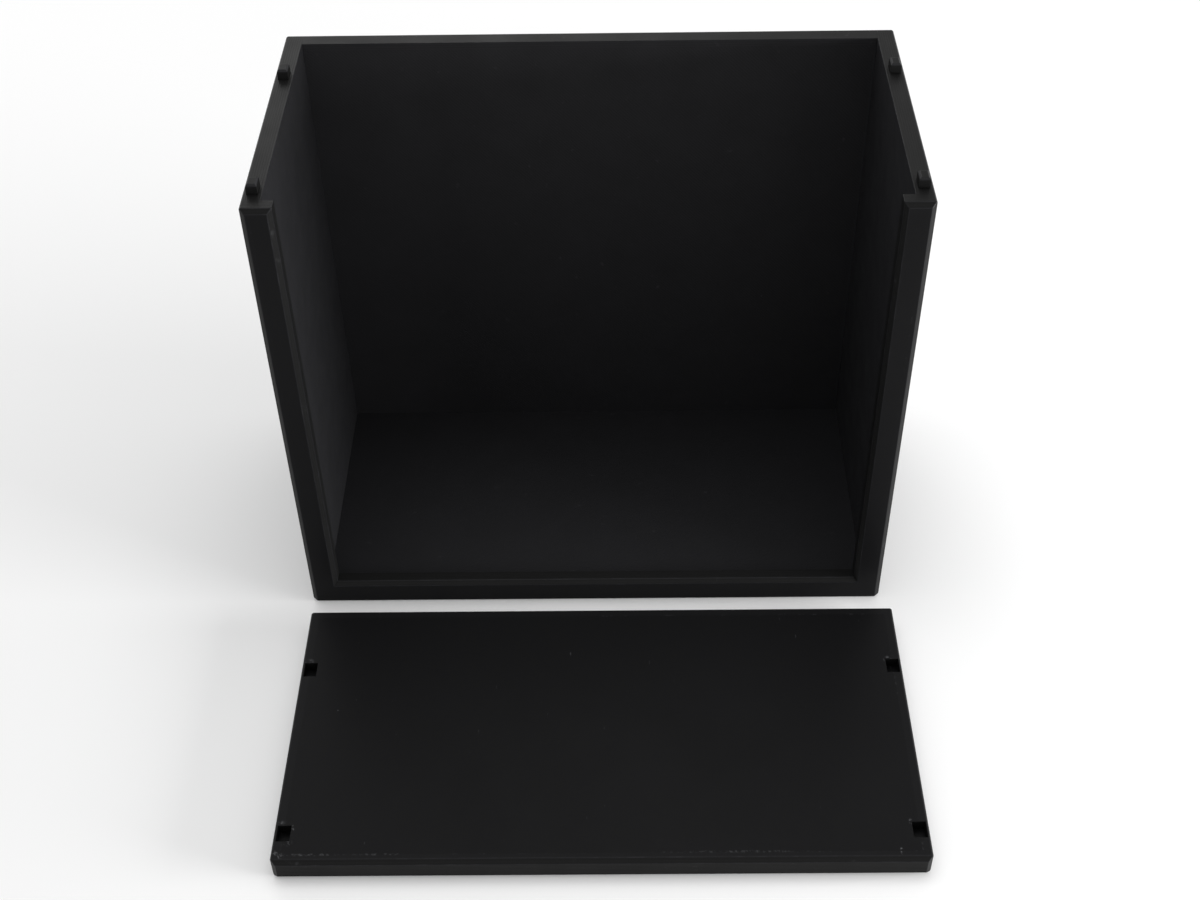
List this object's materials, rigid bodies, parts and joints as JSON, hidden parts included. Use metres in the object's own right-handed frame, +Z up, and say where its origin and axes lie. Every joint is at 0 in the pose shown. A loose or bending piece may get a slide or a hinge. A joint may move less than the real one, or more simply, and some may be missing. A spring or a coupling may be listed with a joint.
{
  "type": "box protector case",
  "caption": "Open-top printed case with an open window in its bevelled front frame and a loose plate lid that locates on four pegs; holds one carton for display.",
  "frame": {"origin": "centre of the case's footprint on its underside", "axes": "+Z up, +X to the right as seen from the front, +Y to the back; the window faces -Y"},
  "size_m": [0.2061, 0.2176, 0.1733],
  "materials": {
    "printed_black": "satin"
  },
  "bodies": {
    "case": {"base_panel": "printed_black", "back_panel": "printed_black", "left_side_panel": "printed_black", "right_side_panel": "printed_black", "front_frame": "printed_black", "front_left_peg": "printed_black", "front_right_peg": "printed_black", "rear_left_peg": "printed_black", "rear_right_peg": "printed_black"},
    "lid": {"lid": "printed_black"}
  },
  "joints": [
    {"name": "lid_lift", "type": "slide", "parent": "case", "child": "lid", "axis": [0, 0, 1], "range_m": [0, 0.185]}
  ]
}
